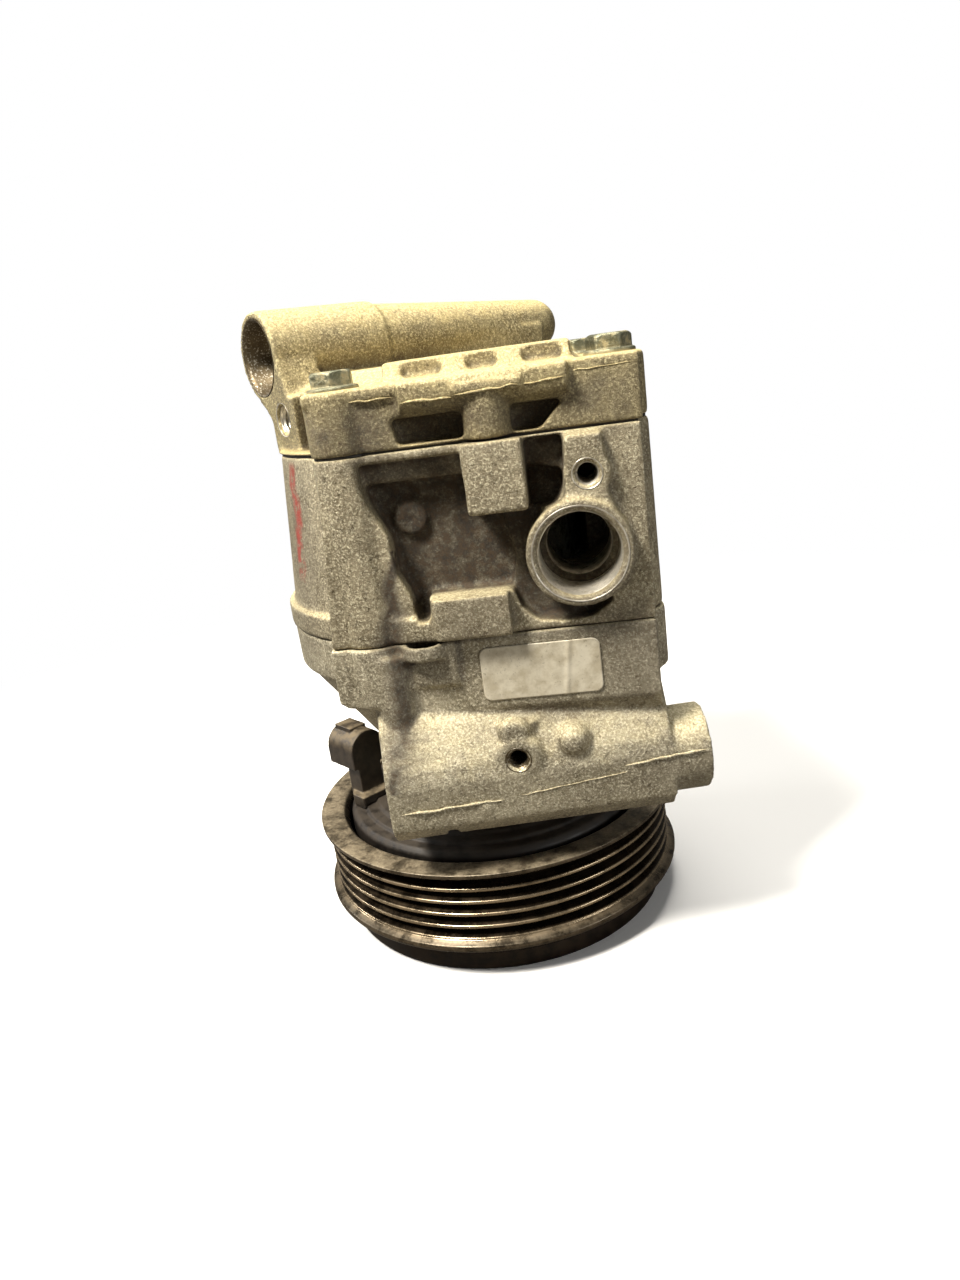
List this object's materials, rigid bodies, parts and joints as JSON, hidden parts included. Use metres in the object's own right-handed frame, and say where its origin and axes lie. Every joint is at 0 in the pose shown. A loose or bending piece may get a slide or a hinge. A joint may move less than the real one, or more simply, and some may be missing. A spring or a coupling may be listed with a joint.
{
  "type": "air conditioning compressor",
  "caption": "Belt-driven scroll compressor for vehicle air conditioning, with cast aluminium casings, a ribbed pulley and a magnetic clutch.",
  "frame": {"origin": "on the shaft axis, in the plane of the armature plate front face, on which the compressor stands", "axes": "+Z along the shaft from the clutch to the rear cover; the face with the suction port looks towards -Y, +X to its right"},
  "size_m": [0.1106, 0.1181, 0.1708],
  "materials": {
    "cast_aluminium": "weathered as-cast",
    "machined_aluminium": "machined",
    "bearing_steel": "ground",
    "plated_steel": "zinc plated",
    "spring_steel": "blued",
    "pulley_steel": "black oxide, worn",
    "clutch_steel": "phosphated",
    "coil_steel": "painted, dusty",
    "coil_resin": "cast resin",
    "connector_nylon": "moulded",
    "terminal_brass": "tinned",
    "brass_fitting": "machined",
    "seal_rubber": "satin",
    "seal_plastic": "moulded",
    "gasket_sheet": "coated sheet",
    "label_paper": "foil label, printed area left blank"
  },
  "bodies": {
    "casing": {"rear_cover": "cast_aluminium", "scroll_housing": "cast_aluminium", "front_housing": "cast_aluminium", "rear_gasket": "gasket_sheet", "housing_o_ring": "seal_rubber", "housing_bolts": "plated_steel", "dowel_pins": "bearing_steel", "fixed_scroll": "machined_aluminium", "fixed_tip_seal": "seal_plastic", "thrust_plate": "bearing_steel", "rotation_pins": "bearing_steel", "discharge_reed": "spring_steel", "valve_stop": "plated_steel", "valve_screw": "plated_steel", "pressure_relief_valve": "brass_fitting", "main_bearing_outer_ring": "bearing_steel", "bearing_circlip": "spring_steel", "front_bearing_cup": "bearing_steel", "shaft_seal": "seal_rubber", "seal_circlip": "spring_steel", "coil_shell": "coil_steel", "coil_winding": "coil_resin", "coil_snap_ring": "spring_steel", "connector_shell": "connector_nylon", "connector_terminals": "terminal_brass", "pulley_bearing_inner_ring": "bearing_steel", "pulley_snap_ring": "spring_steel", "rating_label": "label_paper"},
    "shaft": {"crankshaft": "bearing_steel", "drive_bush": "bearing_steel", "counterweight": "brass_fitting", "main_bearing_inner_ring": "bearing_steel", "clutch_hub": "clutch_steel", "hub_rivets": "plated_steel", "hub_washer": "plated_steel", "hub_bolt": "plated_steel", "hub_shims": "spring_steel", "leaf_springs": "spring_steel"},
    "armature": {"armature_plate": "clutch_steel", "armature_rivets": "plated_steel"},
    "orbiter": {"orbiting_scroll": "machined_aluminium", "orbiting_tip_seal": "seal_plastic", "rotation_rings": "bearing_steel", "scroll_bearing_cup": "bearing_steel"},
    "scroll_needles": {"scroll_bearing_needles": "bearing_steel"},
    "main_balls": {"main_bearing_balls": "bearing_steel", "main_bearing_cage": "seal_plastic"},
    "front_needles": {"front_bearing_needles": "bearing_steel"},
    "drive_pulley": {"pulley": "pulley_steel", "pulley_bearing_outer_ring": "bearing_steel", "pulley_bearing_seals": "seal_rubber"},
    "pulley_balls": {"pulley_bearing_balls": "bearing_steel", "pulley_bearing_cages": "seal_plastic"}
  },
  "joints": [
    {"name": "shaft_spin", "type": "hinge", "parent": "casing", "child": "shaft", "pos_m": [0, 0, 0.0655], "axis": [0, 0, 1], "continuous": true},
    {"name": "armature_travel", "type": "slide", "parent": "shaft", "child": "armature", "axis": [0, 0, 1], "range_m": [0, 0.0005], "stiffness_N_per_m": 20000, "deforming": ["leaf_springs"]},
    {"name": "orbit_pivot", "type": "hinge", "parent": "shaft", "child": "orbiter", "pos_m": [0.00215, 0, 0.086], "axis": [0, 0, 1], "continuous": true},
    {"name": "scroll_needles_roll", "type": "hinge", "parent": "shaft", "child": "scroll_needles", "pos_m": [0.00215, 0, 0.086], "axis": [0, 0, 1], "continuous": true},
    {"name": "main_balls_roll", "type": "hinge", "parent": "casing", "child": "main_balls", "pos_m": [0, 0, 0.0655], "axis": [0, 0, 1], "continuous": true},
    {"name": "front_needles_roll", "type": "hinge", "parent": "casing", "child": "front_needles", "pos_m": [0, 0, 0.026], "axis": [0, 0, 1], "continuous": true},
    {"name": "pulley_spin", "type": "hinge", "parent": "casing", "child": "drive_pulley", "pos_m": [0, 0, 0.018], "axis": [0, 0, 1], "continuous": true},
    {"name": "pulley_balls_roll", "type": "hinge", "parent": "casing", "child": "pulley_balls", "pos_m": [0, 0, 0.018], "axis": [0, 0, 1], "continuous": true}
  ],
  "couplings": [
    {"joint": "orbit_pivot", "follows": "shaft_spin", "ratio": -1},
    {"joint": "scroll_needles_roll", "follows": "shaft_spin", "ratio": -0.5483},
    {"joint": "main_balls_roll", "follows": "shaft_spin", "ratio": 0.3987},
    {"joint": "front_needles_roll", "follows": "shaft_spin", "ratio": 0.4346},
    {"joint": "pulley_balls_roll", "follows": "pulley_spin", "ratio": 0.5598}
  ]
}
